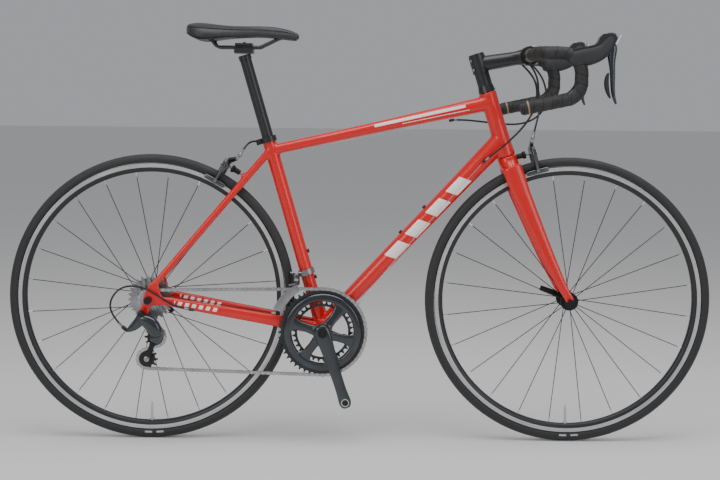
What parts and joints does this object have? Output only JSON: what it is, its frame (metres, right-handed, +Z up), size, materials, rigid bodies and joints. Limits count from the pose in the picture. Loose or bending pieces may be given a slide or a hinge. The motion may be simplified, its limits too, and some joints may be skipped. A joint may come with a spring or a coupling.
{
  "type": "road bicycle",
  "caption": "Drop-bar road bicycle with a slim metal frame, spoked wheels, rim brakes, a two-ring crankset with a chain and derailleurs, and a narrow saddle.",
  "frame": {"origin": "on the ground, midway between the two wheels' contact points, in the bicycle's middle plane", "axes": "+X forward, +Y the rider's left, +Z up; the drive side is -Y"},
  "size_m": [1.652, 0.43, 0.981],
  "materials": {
    "paint": "gloss",
    "black_metal": "satin",
    "silver_metal": "satin",
    "steel": "satin",
    "crank_metal": "gloss",
    "rim_black": "satin",
    "tyre": "matte",
    "saddle_skin": "satin",
    "plastic": "matte",
    "tape": "matte",
    "hood_rubber": "matte",
    "lever_metal": "gloss",
    "housing": "gloss",
    "spoke_steel": "satin"
  },
  "bodies": {
    "frame": {"head_tube": "paint", "top_tube": "paint", "down_tube": "paint", "seat_tube": "paint", "bottom_bracket_shell": "paint", "chainstays": "paint", "seatstays": "paint", "dropouts": "paint", "frame_fittings": "black_metal", "bearings": "steel", "rear_axle": "black_metal", "front_derailleur_mount": "steel", "rear_brake_bolt": "steel", "cable_housings": "housing", "cable_wires": "steel", "chain": "steel"},
    "seatpost": {"seatpost": "black_metal", "saddle_clamp": "black_metal", "saddle_rails": "steel", "saddle_shell": "plastic", "saddle_cover": "saddle_skin"},
    "steering": {"fork": "paint", "headset_cover": "black_metal", "stem": "black_metal", "stem_faceplate": "black_metal", "handlebar": "black_metal", "bar_tape": "tape", "brake_hoods": "hood_rubber", "lever_brackets": "plastic", "front_axle": "black_metal", "front_brake_bolt": "steel"},
    "front_wheel": {"front_hub": "black_metal", "front_spokes": "spoke_steel", "front_rim": "rim_black", "front_tyre": "tyre"},
    "rear_wheel": {"rear_hub": "black_metal", "rear_spokes": "spoke_steel", "rear_rim": "rim_black", "rear_tyre": "tyre"},
    "cassette": {"cassette": "steel"},
    "crankset": {"crank_right": "crank_metal", "crank_left": "crank_metal", "chainrings": "crank_metal"},
    "front_quick_release": {"front_quick_release": "black_metal"},
    "rear_quick_release": {"rear_quick_release": "black_metal"},
    "front_derailleur": {"front_derailleur_cage": "steel"},
    "derailleur_body": {"rear_derailleur_body": "black_metal"},
    "derailleur_link": {"rear_derailleur_link": "black_metal"},
    "derailleur_knuckle": {"rear_derailleur_knuckle": "black_metal"},
    "derailleur_cage": {"rear_derailleur_cage": "steel"},
    "guide_pulley": {"guide_pulley": "plastic"},
    "tension_pulley": {"tension_pulley": "plastic"},
    "front_brake_arm_left": {"front_brake_arm_left": "silver_metal"},
    "front_brake_arm_right": {"front_brake_arm_right": "silver_metal"},
    "rear_brake_arm_left": {"rear_brake_arm_left": "silver_metal"},
    "rear_brake_arm_right": {"rear_brake_arm_right": "silver_metal"},
    "brake_lever_right": {"brake_lever_right": "lever_metal"},
    "brake_lever_left": {"brake_lever_left": "lever_metal"},
    "shift_paddle_right": {"shift_paddle_right": "lever_metal"},
    "shift_paddle_left": {"shift_paddle_left": "lever_metal"}
  },
  "joints": [
    {"name": "seatpost_height", "type": "slide", "parent": "frame", "child": "seatpost", "axis": [-0.2815, 0, 0.9596], "range_m": [-0.06, 0.03]},
    {"name": "steering_turn", "type": "hinge", "parent": "frame", "child": "steering", "pos_m": [0.2947, 0, 0.8239], "axis": [-0.2992, 0, 0.9542], "range_deg": [-40, 40], "deforming": ["cable_housings"]},
    {"name": "front_wheel_spin", "type": "hinge", "parent": "steering", "child": "front_wheel", "pos_m": [0.49, 0, 0.336], "axis": [0, 1, 0], "continuous": true},
    {"name": "rear_wheel_spin", "type": "hinge", "parent": "frame", "child": "rear_wheel", "pos_m": [-0.49, 0, 0.336], "axis": [0, 1, 0], "continuous": true},
    {"name": "crank_spin", "type": "hinge", "parent": "frame", "child": "crankset", "pos_m": [-0.0861, 0, 0.2617], "axis": [0, 1, 0], "continuous": true, "deforming": ["chain"]},
    {"name": "cassette_spin", "type": "hinge", "parent": "frame", "child": "cassette", "pos_m": [-0.49, 0, 0.336], "axis": [0, 1, 0], "continuous": true},
    {"name": "front_quick_release_flip", "type": "hinge", "parent": "steering", "child": "front_quick_release", "pos_m": [0.49, 0.058, 0.336], "axis": [0, 1, 0], "range_deg": [0, 170]},
    {"name": "rear_quick_release_flip", "type": "hinge", "parent": "frame", "child": "rear_quick_release", "pos_m": [-0.49, 0.073, 0.336], "axis": [0, 1, 0], "range_deg": [0, 170]},
    {"name": "front_derailleur_swing", "type": "hinge", "parent": "frame", "child": "front_derailleur", "pos_m": [-0.141, -0.024, 0.397], "axis": [1, 0, 0], "range_deg": [0, 6.5], "stiffness_Nm_per_rad": 2},
    {"name": "derailleur_body_swing", "type": "hinge", "parent": "frame", "child": "derailleur_body", "pos_m": [-0.5019, -0.071, 0.309], "axis": [0, 1, 0], "range_deg": [-8, 12]},
    {"name": "derailleur_shift", "type": "hinge", "parent": "derailleur_body", "child": "derailleur_link", "pos_m": [-0.499, -0.082, 0.3], "axis": [0.8771, 0, 0.4803], "range_deg": [0, 26], "stiffness_Nm_per_rad": 1},
    {"name": "derailleur_knuckle_turn", "type": "hinge", "parent": "derailleur_link", "child": "derailleur_knuckle", "pos_m": [-0.476, -0.082, 0.258], "axis": [0.8771, 0, 0.4803], "range_deg": [-26, 0]},
    {"name": "derailleur_cage_turn", "type": "hinge", "parent": "derailleur_knuckle", "child": "derailleur_cage", "pos_m": [-0.474, -0.0605, 0.249], "axis": [0, 1, 0], "range_deg": [-50, 20], "stiffness_Nm_per_rad": 0.5},
    {"name": "guide_pulley_spin", "type": "hinge", "parent": "derailleur_cage", "child": "guide_pulley", "pos_m": [-0.474, -0.0605, 0.249], "axis": [0, 1, 0], "continuous": true},
    {"name": "tension_pulley_spin", "type": "hinge", "parent": "derailleur_cage", "child": "tension_pulley", "pos_m": [-0.49342, -0.0605, 0.19808], "axis": [0, 1, 0], "continuous": true},
    {"name": "right_brake_pull", "type": "hinge", "parent": "steering", "child": "brake_lever_right", "pos_m": [0.5366, -0.199, 0.9053], "axis": [0, 1, 0], "range_deg": [0, 20], "stiffness_Nm_per_rad": 1},
    {"name": "left_brake_pull", "type": "hinge", "parent": "steering", "child": "brake_lever_left", "pos_m": [0.5366, 0.199, 0.9053], "axis": [0, 1, 0], "range_deg": [0, 20], "stiffness_Nm_per_rad": 1},
    {"name": "right_shift_push", "type": "hinge", "parent": "brake_lever_right", "child": "shift_paddle_right", "pos_m": [0.5395, -0.199, 0.8735], "axis": [0.16, 0, 0.9871], "range_deg": [0, 14], "stiffness_Nm_per_rad": 0.3},
    {"name": "left_shift_push", "type": "hinge", "parent": "brake_lever_left", "child": "shift_paddle_left", "pos_m": [0.5395, 0.199, 0.8735], "axis": [0.16, 0, 0.9871], "range_deg": [-14, 0], "stiffness_Nm_per_rad": 0.3},
    {"name": "front_brake_left_close", "type": "hinge", "parent": "steering", "child": "front_brake_arm_left", "pos_m": [0.39631, 0, 0.68049], "axis": [0.9649, 0, 0.2624], "range_deg": [-2, 0]},
    {"name": "front_brake_right_close", "type": "hinge", "parent": "steering", "child": "front_brake_arm_right", "pos_m": [0.39631, -0.014, 0.68049], "axis": [0.9649, 0, 0.2624], "range_deg": [0, 2]},
    {"name": "rear_brake_left_close", "type": "hinge", "parent": "frame", "child": "rear_brake_arm_left", "pos_m": [-0.31214, 0, 0.64554], "axis": [-0.8671, 0, 0.4982], "range_deg": [0, 2]},
    {"name": "rear_brake_right_close", "type": "hinge", "parent": "frame", "child": "rear_brake_arm_right", "pos_m": [-0.31214, -0.014, 0.64554], "axis": [-0.8671, 0, 0.4982], "range_deg": [-2, 0]}
  ],
  "couplings": [
    {"joint": "cassette_spin", "follows": "crank_spin", "ratio": 4.5455},
    {"joint": "guide_pulley_spin", "follows": "crank_spin", "ratio": -4.5455},
    {"joint": "tension_pulley_spin", "follows": "crank_spin", "ratio": 4.5455},
    {"joint": "derailleur_knuckle_turn", "follows": "derailleur_shift", "ratio": -1},
    {"joint": "front_brake_left_close", "follows": "left_brake_pull", "ratio": -0.1},
    {"joint": "front_brake_right_close", "follows": "left_brake_pull", "ratio": 0.1},
    {"joint": "rear_brake_left_close", "follows": "right_brake_pull", "ratio": 0.1},
    {"joint": "rear_brake_right_close", "follows": "right_brake_pull", "ratio": -0.1}
  ]
}
